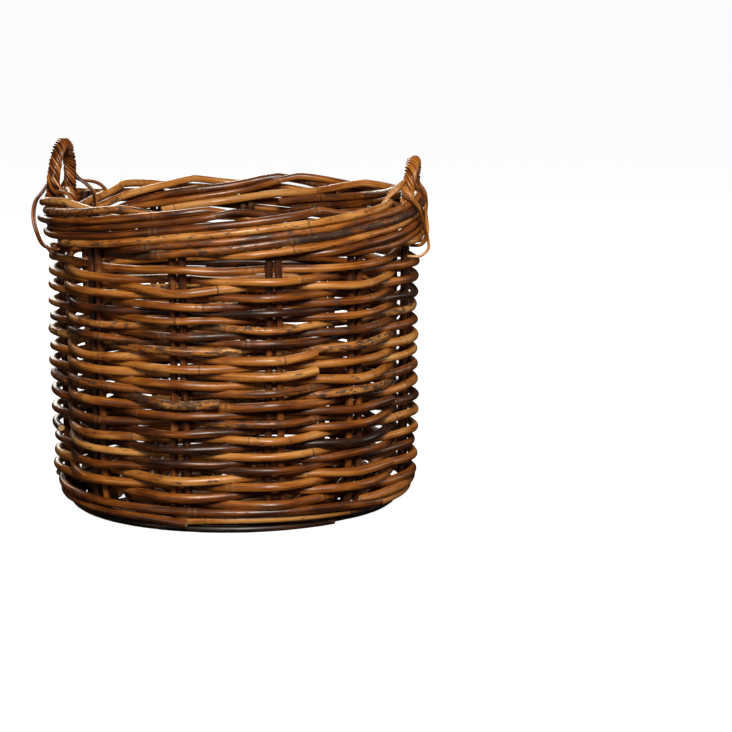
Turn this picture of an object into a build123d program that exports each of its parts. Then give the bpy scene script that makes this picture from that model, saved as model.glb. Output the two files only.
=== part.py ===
"""Round laundry basket woven from rattan rods, with two upright roped handles.

The basket stands on the XY plane with its centre line on +Z.  The two handles lie on the X axis.
Eleven pairs of upright stakes rise from the ends of eleven base stick ends.  One continuous weave
climbs the wall, outside one pair and inside the next, so the odd number of pairs makes each turn
cross over the turn below it.  Every rod is cut from one stake pair to the next.
All sizes are in millimetres and all angles in degrees from +X, turning towards +Y.
"""
from math import asin, cos, degrees, radians, sin, sqrt
import os

from build123d import *

# ---- driving dimensions ---------------------------------------------------------------------
STAKE_LINE_LOW = 262.0         # radius of the stake line at the bottom bend
STAKE_LINE_TOP = 267.0         # radius of the stake line at the top of the stakes
STAKE_DIAMETER = 11.5
STAKE_TOP = 467.0              # height of the cut tops of the stakes
STAKE_GAP_LOW = 24.4           # centre to centre in a pair, where it straddles a base stick
STAKE_GAP_TOP = 15.0           # centre to centre in a pair, at the rim
STAKE_BEND = 25.0              # bend radius where a stake turns in under the wall
STAKE_FOOT_END = 185.0         # radius where the tail of a stake ends inside the base weave

# Each pair was set by eye, so the spacing wanders a little about 360/11 degrees.
PAIR_ANGLES = [-132.4, -100.2, -69.9, -40.8, -5.3, 28.0, 63.0, 93.5, 126.5, 159.5, 188.8]

WEAVER_DIAMETER = 11.4
WEAVE_START = 45.0             # height of the centre of the first turn where it starts
WEAVE_PITCH = 11.7             # rise of the weave in one turn
WEAVE_TURNS = 30
TURNS_PER_BAND = 2             # turns grouped in one node, one over and one under
CLEARANCE = 0.8                # play between a woven rod and the stake it passes
CUT_GAP = 0.5                  # what is missing at each cut end of a rod

WALE_RINGS = [(267.0, 22.0), (273.9, 33.5)]      # radius and height of the two bottom ring rods

RIM_ROD_DIAMETER = 12.6
RIM_ACROSS_HANDLES = 292.5     # half axes of the oval line of the outer rim rods
RIM_FRONT_TO_BACK = 281.0
RIM_OUTER_LOWEST = 412.5       # height of the lowest outer rim rod
RIM_PITCH = 13.0
RIM_OUTER_COURSES = 5
RIM_INNER_COURSES = 4

FOOT_ROD_DIAMETER = 12.8
FOOT_RING_RADII = [230.0, 243.2]
FOOT_FLAT = 0.5                # how much of the foot rods is worn away where they stand

BASE_STICK_DIAMETER = 12.0
BASE_STICK_HEIGHT = 19.4       # height of the base sticks where they leave the cross
BASE_STICK_END = 258.0
BASE_STICK_SPREAD = 76.0       # radius where the sticks have fanned out to their own angles
CROSS_HALF_LENGTH = 34.0       # half the straight part of a stick where the sticks cross
CROSS_SPACING = 12.4           # centre to centre of the sticks lying side by side in the cross

BASE_CANE_DIAMETER = 7.2       # thin weave next to the cross
BASE_CANE_RADII = [82.0, 89.8, 97.6]
BASE_ROD_FIRST = 108.0         # thick weave from there out to the foot
BASE_ROD_PITCH = 12.2
BASE_ROD_TURNS = 10
BASE_CLEARANCE = 1.2
BASE_CUT_GAP = 2.4             # more than CUT_GAP, because the rods meet at an angle there

HANDLE_LEG_RADIUS = 279.0      # the legs are pushed down between the stakes and the outer rim rods
HANDLE_HALF_SPAN = 70.0
HANDLE_SHOULDER = 62.0         # half width of the arch at its top corners
HANDLE_LEANS = {"left": -3.0, "right": 6.5}      # degrees outwards above the rim; the left leans in
HANDLE_CORE_DIAMETER = 11.6
HANDLE_DIAMETER = 20.0         # over the wrapped strands
HANDLE_ARCH_RADIUS = 50.0
HANDLE_LEG_BEND = 60.0
HANDLE_BOTTOM = 418.0
HANDLE_TOPS = {"left": 558.0, "right": 534.0}    # height of the top of each grip
HANDLE_SIDES = {"left": -1, "right": 1}          # sign of X

LASHING_DIAMETER = 5.0
LASHING_OFFSET = 10.5          # each leg has a loop this far to each side of it
LASHING_CORNER = 11.0

# ---- sizes that follow ------------------------------------------------------------------------
PAIRS = len(PAIR_ANGLES)
STAKE_RADIUS = STAKE_DIAMETER / 2
WEAVER_RADIUS = WEAVER_DIAMETER / 2
RIM_ROD_RADIUS = RIM_ROD_DIAMETER / 2
RIM_TOP = RIM_OUTER_LOWEST + (RIM_OUTER_COURSES - 1) * RIM_PITCH + RIM_ROD_RADIUS
RIM_INNER_LINE = STAKE_LINE_TOP - STAKE_RADIUS - CLEARANCE - RIM_ROD_RADIUS


def pair_angle(index):
    """Angle of a stake pair, counting on past the last pair for a second turn and more."""
    turns, place = divmod(index, PAIRS)
    return PAIR_ANGLES[place] + 360.0 * turns


def outward(angle):
    """Unit vector pointing away from the centre line."""
    return Vector(cos(radians(angle)), sin(radians(angle)), 0)


def along(angle):
    """Unit vector along the wall, anticlockwise seen from above."""
    return Vector(-sin(radians(angle)), cos(radians(angle)), 0)


def stake_line(height):
    """Radius of the stake line, which opens a little towards the rim."""
    share = (height - BASE_STICK_HEIGHT) / (STAKE_TOP - BASE_STICK_HEIGHT)
    return STAKE_LINE_LOW + (STAKE_LINE_TOP - STAKE_LINE_LOW) * share


def bend_joint(start, start_direction, end, end_direction):
    """Point where the two arcs of an easy bend meet, from one place and direction to another."""
    step = end - start
    directions = start_direction + end_direction
    spread = 2 * (1 - start_direction.dot(end_direction))
    reach = step.dot(directions)
    if spread < 1e-9:
        length = step.dot(step) / (2 * reach)
    else:
        length = (sqrt(reach * reach + spread * step.dot(step)) - reach) / spread
    return (start + end + (start_direction - end_direction) * length) / 2


def bent_path(start, start_direction, end, end_direction, cut_gap=CUT_GAP):
    """Centre line of a rod that leaves and arrives in the given directions, by two arcs."""
    start = start + start_direction * cut_gap
    end = end - end_direction * cut_gap
    middle = bend_joint(start, start_direction, end, end_direction)
    with BuildLine() as path:
        first = TangentArc(start, middle, tangent=start_direction)
        TangentArc(middle, end, tangent=first % 1)
    return path.line


def rods_along(paths, rod_radius):
    """Round rods, one separate solid along each path."""
    with BuildPart() as rods:
        for path in paths:
            with BuildSketch(Plane(origin=path @ 0, z_dir=path % 0)):
                Circle(rod_radius)
            sweep(path=path)
    return rods.part


def wall_place(index, offset, height):
    """Point beside a stake pair, offset from the stake line, outwards if positive."""
    return outward(pair_angle(index)) * (stake_line(height) + offset) + Vector(0, 0, height)


def weave_band(first_turn):
    """Turns of the wall weave: outside one stake pair, inside the next."""
    offset = STAKE_RADIUS + WEAVER_RADIUS + CLEARANCE
    paths = []
    for step in range(first_turn * PAIRS, (first_turn + TURNS_PER_BAND) * PAIRS):
        side = 1 if step % 2 == 0 else -1
        height = WEAVE_START + WEAVE_PITCH * step / PAIRS
        start = wall_place(step, side * offset, height)
        end = wall_place(step + 1, -side * offset, height)
        paths.append(bent_path(start, along(pair_angle(step)), end, along(pair_angle(step + 1))))
    return rods_along(paths, WEAVER_RADIUS)


def oval_place(index, half_x, half_y, height):
    """Point on an oval line at a stake pair, with the direction of the oval there."""
    out = outward(pair_angle(index))
    radius = 1 / sqrt((out.X / half_x) ** 2 + (out.Y / half_y) ** 2)
    point = out * radius
    direction = Vector(-point.Y / half_y ** 2, point.X / half_x ** 2, 0).normalized()
    return point + Vector(0, 0, height), direction


def oval_paths(half_x, half_y, height):
    """Centre lines of one ring of rods that stays on its own side of the stakes."""
    paths = []
    for index in range(PAIRS):
        start, start_direction = oval_place(index, half_x, half_y, height)
        end, end_direction = oval_place(index + 1, half_x, half_y, height)
        paths.append(bent_path(start, start_direction, end, end_direction))
    return paths


def rim_course(half_x, half_y, height):
    """One ring of rim rods."""
    return rods_along(oval_paths(half_x, half_y, height), RIM_ROD_RADIUS)


def bottom_wale():
    """The two rings that lock the stakes where they turn in under the wall."""
    paths = []
    for radius, height in WALE_RINGS:
        paths += oval_paths(radius, radius, height)
    return rods_along(paths, WEAVER_RADIUS)


def foot_ring():
    """The rods that the basket stands on, worn flat underneath."""
    rod_radius = FOOT_ROD_DIAMETER / 2
    paths = []
    for radius in FOOT_RING_RADII:
        paths += oval_paths(radius, radius, rod_radius - FOOT_FLAT)
    with BuildPart() as foot:
        add(rods_along(paths, rod_radius))
        split(bisect_by=Plane.XY, keep=Keep.TOP)
    return foot.part


def corner_path(points, radius):
    """Straight runs between points, joined by tangent arcs."""
    with BuildLine() as path:
        FilletPolyline(*points, radius=radius)
    return path.line


def stake_path(index, side):
    """From the tail of a stake, out through the base and up the wall."""
    angle = pair_angle(index)
    low_offset = along(angle) * (side * STAKE_GAP_LOW / 2) + Vector(0, 0, BASE_STICK_HEIGHT)
    top_offset = along(angle) * (side * STAKE_GAP_TOP / 2) + Vector(0, 0, STAKE_TOP)
    tail = outward(angle) * STAKE_FOOT_END + low_offset
    corner = outward(angle) * STAKE_LINE_LOW + low_offset
    top = outward(angle) * STAKE_LINE_TOP + top_offset
    return corner_path([tail, corner, top], STAKE_BEND)


def stake_pair(index):
    """Two uprights side by side, whose tails lie in the base on both sides of a base stick."""
    return rods_along([stake_path(index, -1), stake_path(index, 1)], STAKE_RADIUS)


def stick_points(end_index, cross_point):
    """Outer end of a base stick, the point where it has fanned out, and its cross point."""
    out = outward(pair_angle(end_index))
    lift = Vector(0, 0, BASE_STICK_HEIGHT)
    return [out * BASE_STICK_END + lift, out * BASE_STICK_SPREAD + lift, cross_point]


def lower_base_sticks():
    """Three sticks right across the base, the lower layer of the cross."""
    layer = BASE_STICK_HEIGHT - BASE_STICK_DIAMETER / 2
    paths = []
    for row, right_end, left_end in [(-1, 3, 10), (0, 4, 9), (1, 5, 8)]:
        right = Vector(CROSS_HALF_LENGTH, row * CROSS_SPACING, layer)
        left = Vector(-CROSS_HALF_LENGTH, row * CROSS_SPACING, layer)
        points = stick_points(right_end, right) + stick_points(left_end, left)[::-1]
        paths.append(corner_path(points, BASE_STICK_DIAMETER))
    return rods_along(paths, BASE_STICK_DIAMETER / 2)


def upper_base_sticks():
    """Two sticks across the base and the odd half stick, the upper layer of the cross."""
    layer = BASE_STICK_HEIGHT + BASE_STICK_DIAMETER / 2
    paths = []
    for row, front_end, back_end in [(-1, 0, 7), (1, 2, 6)]:
        front = Vector(row * CROSS_SPACING, -CROSS_HALF_LENGTH, layer)
        back = Vector(row * CROSS_SPACING, CROSS_HALF_LENGTH, layer)
        points = stick_points(front_end, front) + stick_points(back_end, back)[::-1]
        paths.append(corner_path(points, BASE_STICK_DIAMETER))
    half_stick = stick_points(1, Vector(0, -CROSS_HALF_LENGTH, layer))
    half_stick.append(Vector(0, CROSS_HALF_LENGTH, layer))
    paths.append(corner_path(half_stick, BASE_STICK_DIAMETER))
    return rods_along(paths, BASE_STICK_DIAMETER / 2)


def base_round(radius, first_step, rod_radius):
    """Centre lines of one turn of the base weave: over one stick, under the next."""
    offset = BASE_STICK_DIAMETER / 2 + rod_radius + BASE_CLEARANCE
    level = Vector(0, 0, BASE_STICK_HEIGHT)
    paths = []
    for step in range(first_step, first_step + PAIRS):
        rise = Vector(0, 0, offset if step % 2 == 0 else -offset)
        start = outward(pair_angle(step)) * radius + level + rise
        end = outward(pair_angle(step + 1)) * radius + level - rise
        chord = Vector(end.X - start.X, end.Y - start.Y, 0).normalized()
        paths.append(bent_path(start, chord, end, chord, BASE_CUT_GAP))
    return paths


def inner_base_weave():
    """The fine cane turns that spread the sticks of the cross."""
    paths = []
    for turn, radius in enumerate(BASE_CANE_RADII):
        paths += base_round(radius, turn * PAIRS, BASE_CANE_DIAMETER / 2)
    return rods_along(paths, BASE_CANE_DIAMETER / 2)


def outer_base_weave():
    """The thick turns from the cane out to the stakes."""
    paths = []
    for turn in range(BASE_ROD_TURNS):
        radius = BASE_ROD_FIRST + turn * BASE_ROD_PITCH
        paths += base_round(radius, (turn + len(BASE_CANE_RADII)) * PAIRS, WEAVER_RADIUS)
    return rods_along(paths, WEAVER_RADIUS)


def handle_points(side):
    """Corner points of a handle: leg bottom, leg at the rim, shoulder, and back down."""
    sign = HANDLE_SIDES[side]
    grip_line = HANDLE_TOPS[side] - HANDLE_DIAMETER / 2
    leg_x = sqrt(HANDLE_LEG_RADIUS ** 2 - HANDLE_HALF_SPAN ** 2)
    shoulder_x = leg_x + (grip_line - RIM_TOP) * sin(radians(HANDLE_LEANS[side]))
    front = [
        Vector(sign * leg_x, -HANDLE_HALF_SPAN, HANDLE_BOTTOM),
        Vector(sign * leg_x, -HANDLE_HALF_SPAN, RIM_TOP),
        Vector(sign * shoulder_x, -HANDLE_SHOULDER, grip_line),
    ]
    return front + [Vector(point.X, -point.Y, point.Z) for point in reversed(front)]


def handle_core(side):
    """The stout bow that carries the load, from deep in the rim up over the grip and down again."""
    radii = (HANDLE_LEG_BEND, HANDLE_ARCH_RADIUS, HANDLE_ARCH_RADIUS, HANDLE_LEG_BEND)
    path = corner_path(handle_points(side), radii)
    return rods_along([path], HANDLE_CORE_DIAMETER / 2)


def handle_wrap(side):
    """The sleeve of canes roped round the bow, from the rim up over the grip and down again."""
    points = handle_points(side)[1:-1]
    first_run = (points[1] - points[0]).normalized()
    points[0] = points[0] + first_run * (LASHING_DIAMETER + 2 * CLEARANCE)
    points[-1] = Vector(points[0].X, -points[0].Y, points[0].Z)
    with BuildPart() as wrap:
        with BuildLine() as path:
            FilletPolyline(*points, radius=HANDLE_ARCH_RADIUS)
        with BuildSketch(Plane(origin=points[0], z_dir=first_run)):
            Circle(HANDLE_DIAMETER / 2)
            Circle(HANDLE_CORE_DIAMETER / 2 + CLEARANCE, mode=Mode.SUBTRACT)
        sweep(path=path.line)
    return wrap.part


def lashing_path(angle):
    """Centre line of a loop round the whole rim, standing upright at the given angle."""
    strand = LASHING_DIAMETER / 2
    inner_side = RIM_INNER_LINE - RIM_ROD_RADIUS - strand - CLEARANCE
    outer_side = RIM_ACROSS_HANDLES + RIM_ROD_RADIUS + strand + CLEARANCE
    lower_side = RIM_OUTER_LOWEST - RIM_ROD_RADIUS - strand - CUT_GAP
    upper_side = RIM_TOP + strand + CLEARANCE
    with BuildLine(Plane(origin=(0, 0, 0), x_dir=outward(angle), z_dir=along(angle) * -1)) as path:
        FilletPolyline(
            (outer_side, upper_side), (outer_side, lower_side),
            (inner_side, lower_side), (inner_side, upper_side),
            radius=LASHING_CORNER, close=True,
        )
    return path.line


def handle_lashing(side):
    """Four loops of cane that tie the feet of a handle round the whole rim."""
    middle = 0.0 if HANDLE_SIDES[side] > 0 else 180.0
    paths = []
    for leg in (-1, 1):
        for offset in (-LASHING_OFFSET, LASHING_OFFSET):
            across = leg * HANDLE_HALF_SPAN + offset
            paths.append(lashing_path(middle + degrees(asin(across / HANDLE_LEG_RADIUS))))
    return rods_along(paths, LASHING_DIAMETER / 2)


def save(part, name):
    """Label a finished piece and write it to its own STEP file."""
    part.label = name
    export_step(part, f"parts/{name}.step")


os.makedirs("parts", exist_ok=True)

save(foot_ring(), "foot_ring")
save(lower_base_sticks(), "base_sticks_lower")
save(upper_base_sticks(), "base_sticks_upper")
save(inner_base_weave(), "base_weave_inner")
save(outer_base_weave(), "base_weave_outer")
save(bottom_wale(), "bottom_wale")

for pair_number in range(PAIRS):
    save(stake_pair(pair_number), f"stake_pair_{pair_number + 1:02d}")

for band_number in range(WEAVE_TURNS // TURNS_PER_BAND):
    save(weave_band(band_number * TURNS_PER_BAND), f"weave_band_{band_number + 1:02d}")

for course_number in range(RIM_OUTER_COURSES):
    course_height = RIM_OUTER_LOWEST + course_number * RIM_PITCH
    course = rim_course(RIM_ACROSS_HANDLES, RIM_FRONT_TO_BACK, course_height)
    save(course, f"rim_outer_{course_number + 1}")

for course_number in range(RIM_INNER_COURSES):
    course_height = RIM_OUTER_LOWEST + (course_number + 0.5) * RIM_PITCH
    save(rim_course(RIM_INNER_LINE, RIM_INNER_LINE, course_height), f"rim_inner_{course_number + 1}")

for handle_side in HANDLE_SIDES:
    save(handle_core(handle_side), f"handle_{handle_side}_core")
    save(handle_wrap(handle_side), f"handle_{handle_side}_wrap")
    save(handle_lashing(handle_side), f"handle_{handle_side}_lashing")
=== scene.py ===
"""Looks of the round rattan laundry basket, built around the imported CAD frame.

The long rods are laid over upright columns that stand round the wall: in each column a rod has a
distance from the centre line, a height and a radius.  Each rod first gets the route that a weaver would
give it, then all are pushed apart until they hardly cut into each other, and last each is drawn as a
tube with nodes, crooks, cut ends and a colour of its own.
Lengths are in metres and angles in radians.  A step is the way from one stake pair to the next.
"""
import math

import bpy
import numpy as np
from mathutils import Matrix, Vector


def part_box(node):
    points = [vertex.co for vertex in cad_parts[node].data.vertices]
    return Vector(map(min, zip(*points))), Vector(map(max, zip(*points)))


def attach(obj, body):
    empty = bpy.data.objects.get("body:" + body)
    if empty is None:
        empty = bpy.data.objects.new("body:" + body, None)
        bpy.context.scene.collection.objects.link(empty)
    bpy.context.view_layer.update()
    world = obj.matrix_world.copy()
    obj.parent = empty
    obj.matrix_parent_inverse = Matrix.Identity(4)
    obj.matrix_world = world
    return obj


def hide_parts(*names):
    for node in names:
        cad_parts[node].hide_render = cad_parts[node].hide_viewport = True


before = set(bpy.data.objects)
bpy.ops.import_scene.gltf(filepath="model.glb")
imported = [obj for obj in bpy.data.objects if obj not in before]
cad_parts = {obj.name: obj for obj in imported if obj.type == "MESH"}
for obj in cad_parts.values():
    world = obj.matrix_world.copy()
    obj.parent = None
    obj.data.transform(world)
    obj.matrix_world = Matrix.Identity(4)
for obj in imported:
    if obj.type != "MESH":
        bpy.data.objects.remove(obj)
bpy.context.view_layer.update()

MM = 0.001
UP = np.array([0.0, 0.0, 1.0])

# ---- rods of the wall ----
STAKE_RADIUS = 5.75 * MM
WEAVER_RADIUS = 6.15 * MM
BASE_ROD_RADIUS = 5.8 * MM
RIM_ROD_RADIUS = 6.1 * MM
FOOT_ROD_RADIUS = 6.4 * MM
BASE_STICK_RADIUS = 6.2 * MM
CANE_RADIUS = 3.6 * MM
PLAY = 0.5 * MM  # between a rod and the stake it passes
BOW = (1.5, 5.5)  # how far a stiff rod bows past its stakes outside, in millimetres
INSIDE_BOW = 0.2  # how much of that it has where it passes inside
FLOOR_PLAY = 1.0 * MM  # room under the foot rods for the swell of their nodes

COLUMNS = 240  # upright columns in one turn of the wall
COLUMN_ANGLE = 2 * math.pi / COLUMNS
SETTLE_ROUNDS = 160
SETTLE_SHARE = 0.5  # how much of an overlap each of two rods gives way, per round

# The weave is one long line of rods laid end to end.  Each ends outside, just past an even step.
WEAVE_JOINS = [0, 20, 36, 62, 76, 96, 124, 144, 160, 178, 200, 216, 240, 260, 282, 302, 316]
TIP_PAST = 0.46  # how far a tip reaches past its last stake pair, in steps
BUTT_PAST = 0.34  # how far past the old rod's last pair the new one starts, inside
RISING_TIPS = [178, 200]  # joins whose tips also rise

# Tone of each turn where it passes the front: 0 is pale straw, 1 is nearly black.
TURN_TONES = [
    0.42, 0.50, 0.36, 0.22, 0.66, 0.68, 0.12, 0.86, 0.30, 0.68,
    0.62, 0.58, 0.34, 0.34, 0.50, 0.30, 0.28, 0.28, 0.20, 0.18,
    0.62, 0.64, 0.24, 0.38, 0.80, 0.44, 0.36, 0.24, 0.44, 0.38,
]
# How mottled with black each turn is there, from 0 to 1.
TURN_MOTTLE = [
    0.2, 0.2, 0.1, 0.3, 0.1, 0.2, 0.2, 0.1, 0.5, 0.2,
    0.4, 0.3, 0.1, 1.0, 0.7, 0.2, 0.3, 0.1, 0.3, 0.9,
    0.5, 0.6, 0.8, 0.1, 0.2, 0.3, 0.3, 0.2, 0.1, 0.2,
]
# Where a rod hangs or stands away from its course: (turn, pair): rise in millimetres.
STRAYS = {
    (27, 1): -5.0, (25, 1): 2.0, (13, 1): -4.5, (15, 1): 2.0, (12, 2): 2.5, (22, 2): -2.0, (8, 2): -2.0,
}
STRAY_SIZE = 1.5  # usual stray of the other passes, in millimetres
STRAY_LIMIT = 3.2
TIP_RISE = 26 * MM  # how far a rising tip has risen one step past its join
TIP_FLARE = 16 * MM  # how far any tip stands out by then
NEAR_PAIR = 0.06  # half the angle in which a rod passes the two stakes of a pair

BORDER_RODS = 15  # rods of the rim, each climbing outside, over the top, and down inside
BORDER_OUTSIDE = 4.0  # steps from where one comes out to where it crosses over the top
BORDER_TAIL = 1.0  # steps of its tail, inside before it comes out
BORDER_INSIDE = 2.2  # steps that it runs on inside, after it has crossed
BORDER_PIECES = 5
BLUNT_STARTS = {9: 9.97, 11: 9.93}  # rim rods trimmed outside, and the step of that blunt end
BLUNT_FLARE = 7.0 * MM  # how far a blunt end stands out
CROWN_RISE = 3 * MM  # hump of a rim rod where it crosses over the top
RIM_TUCK = 6.5 * MM  # the rods lie closer in at the handles, and the ties stand out past them

SPACING = 2.6 * MM  # between rings of a tube, along it
AROUND = 16  # vertices in a ring
ROD_CROOK = 0.9 * MM  # how far a rod is kinked at its nodes
FOOT_CROOK = 0.2 * MM

# ---- handles ----
CORE_RADIUS = 5.8 * MM
ROPE_RADIUS = 10.0 * MM  # over the strands
STRAND_RADIUS = 2.2 * MM
STRAND_AROUND = 10  # vertices in a ring of a strand
STRAND_SPACING = 2.2 * MM  # between those rings
ARCH_NARROWING = 7 * MM  # how much nearer the middle each leg stands where the arch begins
LEG_STRAIGHT = 20 * MM  # how far under the rim's top a leg stays upright
ARCH_START = 0.18  # where it begins, as a share of the way from the rim to the grip
ARCH_POWER = 0.95  # 1 is an ellipse, less is squarer
ROPE_STRANDS = 8
ROPE_PITCH = 58 * MM
ROPE_TAIL = 32 * MM  # how far the strands run down into the rim
TIE_SPACING = 4.5 * MM  # between strands that lie side by side
TIE_FAN = 0.7  # how far those past the middle stand out, as a share of their shift
HANDLES = {"left": -1, "right": 1}

# ---- stakes ----
STAKE_BEND = 25 * MM  # bend radius where a stake turns in under the wall
STAKE_TAIL_END = 185 * MM  # distance out where its tail ends inside the base
HALF_GAP_LOW = 12.2 * MM  # from the middle of a pair to the line of each stake, at the base
HALF_GAP_TOP = 7.5 * MM
WALL_OPENING = 5 * MM  # how much further out the stakes stand at the rim


# ---- reading the frame ----
def node_points(node):
    """All vertices of a CAD node."""
    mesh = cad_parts[node].data
    points = np.empty(len(mesh.vertices) * 3)
    mesh.vertices.foreach_get("co", points)
    return points.reshape(-1, 3)


STAKE_NODES = sorted(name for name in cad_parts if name.startswith("stake_pair"))
BAND_NODES = sorted(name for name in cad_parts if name.startswith("weave_band"))
PAIRS = len(STAKE_NODES)


def ring_of(node, low, high):
    """Mean place of what a node has between two heights."""
    points = node_points(node)
    return points[(points[:, 2] > low) & (points[:, 2] < high)].mean(axis=0)


STAKE_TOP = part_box(STAKE_NODES[0])[1].z
STAKE_LOW = 46 * MM  # just above the bend at the foot of a stake
top_places = [ring_of(node, STAKE_TOP - MM, STAKE_TOP + MM) for node in STAKE_NODES]
PAIR_ANGLES = np.unwrap([math.atan2(place[1], place[0]) for place in top_places])
STAKE_LINE_TOP = float(np.mean([math.hypot(place[0], place[1]) for place in top_places]))
STAKE_LINE_LOW = STAKE_LINE_TOP - WALL_OPENING
BASE_LEVEL = (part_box("base_sticks_lower")[0].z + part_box("base_sticks_upper")[1].z) / 2
FULL_ROUND = np.append(PAIR_ANGLES, PAIR_ANGLES[0] + 2 * math.pi)


def angle_at(step):
    """Angle of a step, counting on past the last pair for more turns."""
    turn, place = np.divmod(step, PAIRS)
    return np.interp(place, np.arange(PAIRS + 1), FULL_ROUND) + 2 * math.pi * turn


def step_at(angle):
    """The other way round."""
    turn = np.floor((angle - PAIR_ANGLES[0]) / (2 * math.pi))
    return np.interp(angle - 2 * math.pi * turn, FULL_ROUND, np.arange(PAIRS + 1)) + PAIRS * turn


def stake_line(height):
    """Radius of the stake line, which opens a little towards the rim."""
    share = (height - STAKE_LOW) / (STAKE_TOP - STAKE_LOW)
    return STAKE_LINE_LOW + (STAKE_LINE_TOP - STAKE_LINE_LOW) * share


def smoothstep(value, low, high):
    share = np.clip((value - low) / (high - low), 0, 1)
    return share * share * (3 - 2 * share)


def wander(length, dice, size, wave):
    """A slow random drift along a rod, about that size, with turns about a wave apart."""
    total = np.zeros_like(length)
    for share in (1.0, 0.62, 0.37):
        phase = dice.uniform(0, 2 * math.pi)
        total += share * np.sin(2 * math.pi * length / (wave * share * dice.uniform(0.8, 1.25)) + phase)
    return total * size / 1.3


# ---- rods in columns ----
class Rod:
    """One rod, by the columns that it passes."""

    def __init__(self, piece, first_step, last_step, radius, dice):
        first = math.ceil(float(angle_at(first_step)) / COLUMN_ANGLE)
        last = math.floor(float(angle_at(last_step)) / COLUMN_ANGLE)
        self.piece = piece
        self.columns = np.arange(first, last + 1)
        self.angles = self.columns * COLUMN_ANGLE
        self.steps = step_at(self.angles)
        self.length = self.angles * STAKE_LINE_TOP
        self.radius = radius * (1 + wander(self.length, dice, 0.03, 0.5))
        self.side = np.zeros(len(self.columns))  # 1 where it has to be outside the stakes, -1 inside
        self.flare = np.zeros(len(self.columns))  # how far an end is bent out of its course
        self.out = None
        self.height = None
        self.tones = None
        self.mottle = 0.2
        self.dice = dice

    def near_pair(self):
        """Where it passes the two stakes of a pair."""
        return np.abs(self.steps - np.round(self.steps)) * (2 * math.pi / PAIRS) < NEAR_PAIR


def turn_of(step):
    """Turn of the weave, counted so that a new one begins at the back."""
    return int(np.clip((step + 3.5) // PAIRS, 0, len(TURN_TONES) - 1))


def weave_height(step):
    """Height of the centre of the weave."""
    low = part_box(BAND_NODES[0])[0].z + WEAVER_RADIUS
    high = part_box(BAND_NODES[-1])[1].z - WEAVER_RADIUS
    return low + (high - low) * step / (2 * PAIRS * len(BAND_NODES) - 1)


def weave_strays(steps):
    """How far a weaver strays from its course, most of all where it passes a pair."""
    last = 2 * PAIRS * len(BAND_NODES) + 1
    strays = np.clip(np.random.default_rng(5).normal(0, STRAY_SIZE, last + 1), -STRAY_LIMIT, STRAY_LIMIT)
    for (turn, pair), rise in STRAYS.items():
        strays[turn * PAIRS + pair] = rise
    nearest = np.clip(np.round(steps), 0, last).astype(int)
    return strays[nearest] * MM * np.cos(math.pi * (steps - nearest)) ** 2


def lay_weaver(number, first, last):
    """A weaver from one join to the next: outside the even steps, inside the odd ones."""
    dice = np.random.default_rng(100 + number)
    band = min(first // (2 * PAIRS), len(BAND_NODES) - 1)
    tip = last + TIP_PAST if last < 2 * PAIRS * len(BAND_NODES) - 1 else last + 0.3
    radius = WEAVER_RADIUS * dice.uniform(0.90, 1.10)
    rod = Rod(f"weave_rods_{band + 1:02d}", first + BUTT_PAST, tip, radius, dice)
    swing = np.cos(math.pi * rod.steps)
    swing = np.where(rod.steps > last, 1.0, swing)
    swing = np.where(rod.steps < first + 1, -1.0, swing)
    rod.height = weave_height(rod.steps) + weave_strays(rod.steps) + wander(rod.length, dice, 0.9 * MM, 0.3)
    past = np.clip(rod.steps - last, 0, 1)
    if last in RISING_TIPS:
        rod.height += TIP_RISE * past ** 1.6
    passes = dice.uniform(*BOW, last + 3)[np.round(rod.steps).astype(int)] * MM
    passes = passes * np.where(swing > 0, 1, INSIDE_BOW)
    bow = passes * np.cos(math.pi * (rod.steps - np.round(rod.steps))) ** 2
    reach = STAKE_RADIUS + rod.radius + PLAY + bow
    rod.out = stake_line(rod.height) + swing * reach + past ** 2 * TIP_FLARE
    rod.side = np.where(rod.near_pair(), np.sign(swing), 0)
    rod.tones = lambda step: TURN_TONES[turn_of(step)]
    rod.mottle = lambda step: TURN_MOTTLE[turn_of(step)]
    return rod


def rim_oval(angles):
    """Radius of the outer rim line, a little wider across the handles."""
    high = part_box("rim_outer_1")[1]
    half_x = high.x - RIM_ROD_RADIUS - RIM_TUCK
    half_y = high.y - RIM_ROD_RADIUS
    return 1 / np.sqrt((np.cos(angles) / half_x) ** 2 + (np.sin(angles) / half_y) ** 2)


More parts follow.
